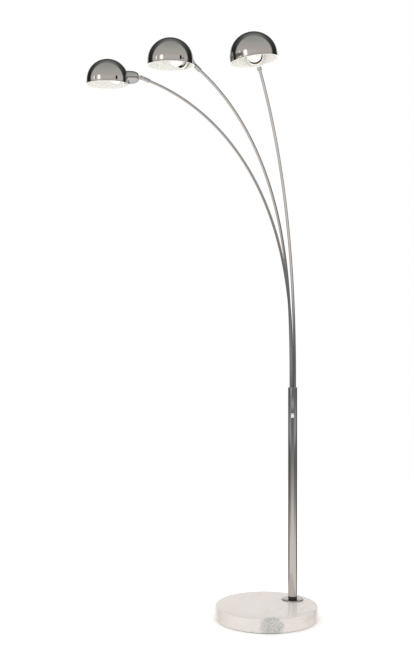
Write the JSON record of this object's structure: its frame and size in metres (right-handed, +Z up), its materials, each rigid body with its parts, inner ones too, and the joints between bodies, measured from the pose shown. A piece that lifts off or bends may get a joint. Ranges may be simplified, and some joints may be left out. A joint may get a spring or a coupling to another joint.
{
  "type": "arc floor lamp",
  "caption": "Floor lamp with curved chrome arms that fan out from a post on a round stone base, each ending in a domed shade that swivels, turns and tilts.",
  "frame": {"origin": "centre of the round base's underside, on the floor", "axes": "+Z up, the post stands on the +X side of the base and the middle arm leans to -X"},
  "size_m": [0.6763, 0.8052, 1.9263],
  "materials": {
    "marble": "polished off-white marble with faint veins",
    "chrome": "mirror-polished chrome plate",
    "enamel": "gloss white enamel",
    "opal_glass": "opal glass, unlit",
    "white_plastic": "gloss white plastic",
    "black_plastic": "satin black plastic",
    "rubber": "matt black rubber",
    "felt": "black felt",
    "steel": "zinc-plated steel",
    "brass": "bare brass",
    "porcelain": "white porcelain",
    "cable": "white PVC insulation"
  },
  "bodies": {
    "stand": {"marble_base": "marble", "base_felt": "felt", "base_washer": "steel", "base_nut": "brass", "cord_grommet": "rubber", "foot_flange": "chrome", "foot_collar": "black_plastic", "post_tube": "chrome", "post_plug": "steel", "threaded_pipe": "steel", "arm_holder": "chrome", "arm_stop_plate": "steel", "terminal_block": "porcelain", "holder_screw": "chrome", "switch_bezel": "white_plastic", "supply_lead": "cable"},
    "rocker": {"switch_rocker": "white_plastic"},
    "arm_left": {"arm_tube_left": "chrome", "arm_lead_left": "cable"},
    "sleeve_left": {"swivel_sleeve_left": "chrome", "sleeve_screw_left": "steel", "pivot_screw_left": "chrome", "pivot_nut_left": "chrome"},
    "head_left": {"knuckle_tongue_left": "chrome", "cup_left": "chrome", "cup_nut_left": "brass", "shade_left": "chrome", "shade_ring_left": "enamel", "lamp_holder_left": "porcelain", "bulb_left": "opal_glass", "bulb_cap_left": "brass"},
    "arm_middle": {"arm_tube_middle": "chrome", "arm_lead_middle": "cable"},
    "sleeve_middle": {"swivel_sleeve_middle": "chrome", "sleeve_screw_middle": "steel", "pivot_screw_middle": "chrome", "pivot_nut_middle": "chrome"},
    "head_middle": {"knuckle_tongue_middle": "chrome", "cup_middle": "chrome", "cup_nut_middle": "brass", "shade_middle": "chrome", "shade_ring_middle": "enamel", "lamp_holder_middle": "porcelain", "bulb_middle": "opal_glass", "bulb_cap_middle": "brass"},
    "arm_right": {"arm_tube_right": "chrome", "arm_lead_right": "cable"},
    "sleeve_right": {"swivel_sleeve_right": "chrome", "sleeve_screw_right": "steel", "pivot_screw_right": "chrome", "pivot_nut_right": "chrome"},
    "head_right": {"knuckle_tongue_right": "chrome", "cup_right": "chrome", "cup_nut_right": "brass", "shade_right": "chrome", "shade_ring_right": "enamel", "lamp_holder_right": "porcelain", "bulb_right": "opal_glass", "bulb_cap_right": "brass"}
  },
  "joints": [
    {"name": "arm_swivel_left", "type": "hinge", "parent": "stand", "child": "arm_left", "pos_m": [0.12, 0.00693, 0.787], "axis": [0, 0, 1], "range_deg": [-60, 12]},
    {"name": "sleeve_turn_left", "type": "hinge", "parent": "arm_left", "child": "sleeve_left", "pos_m": [-0.32421, 0.28992, 1.86379], "axis": [-0.7769, 0.495, 0.3891], "range_deg": [-60, 60]},
    {"name": "shade_tilt_left", "type": "hinge", "parent": "sleeve_left", "child": "head_left", "pos_m": [-0.32421, 0.28992, 1.86379], "axis": [-0.5373, -0.8434, 0], "range_deg": [-38, 57]},
    {"name": "arm_swivel_middle", "type": "hinge", "parent": "stand", "child": "arm_middle", "pos_m": [0.108, 0, 0.787], "axis": [0, 0, 1], "range_deg": [-12, 12]},
    {"name": "sleeve_turn_middle", "type": "hinge", "parent": "arm_middle", "child": "sleeve_middle", "pos_m": [-0.30279, 0, 1.85851], "axis": [-0.8387, 0, 0.5446], "range_deg": [-60, 60]},
    {"name": "shade_tilt_middle", "type": "hinge", "parent": "sleeve_middle", "child": "head_middle", "pos_m": [-0.30279, 0, 1.85851], "axis": [0.2666, -0.872, 0.4105], "range_deg": [-51, 43]},
    {"name": "arm_swivel_right", "type": "hinge", "parent": "stand", "child": "arm_right", "pos_m": [0.12, -0.00693, 0.787], "axis": [0, 0, 1], "range_deg": [-12, 60]},
    {"name": "sleeve_turn_right", "type": "hinge", "parent": "arm_right", "child": "sleeve_right", "pos_m": [-0.20421, -0.21347, 1.84029], "axis": [-0.5859, -0.3732, 0.7193], "range_deg": [-60, 60]},
    {"name": "shade_tilt_right", "type": "hinge", "parent": "sleeve_right", "child": "head_right", "pos_m": [-0.20421, -0.21347, 1.84029], "axis": [0.7017, -0.6777, 0.2199], "range_deg": [-62, 32]},
    {"name": "switch_rock", "type": "hinge", "parent": "stand", "child": "rocker", "pos_m": [0.10583, -0.0117, 0.69], "axis": [0.7547, -0.6561, 0], "range_deg": [-20, 0]}
  ]
}
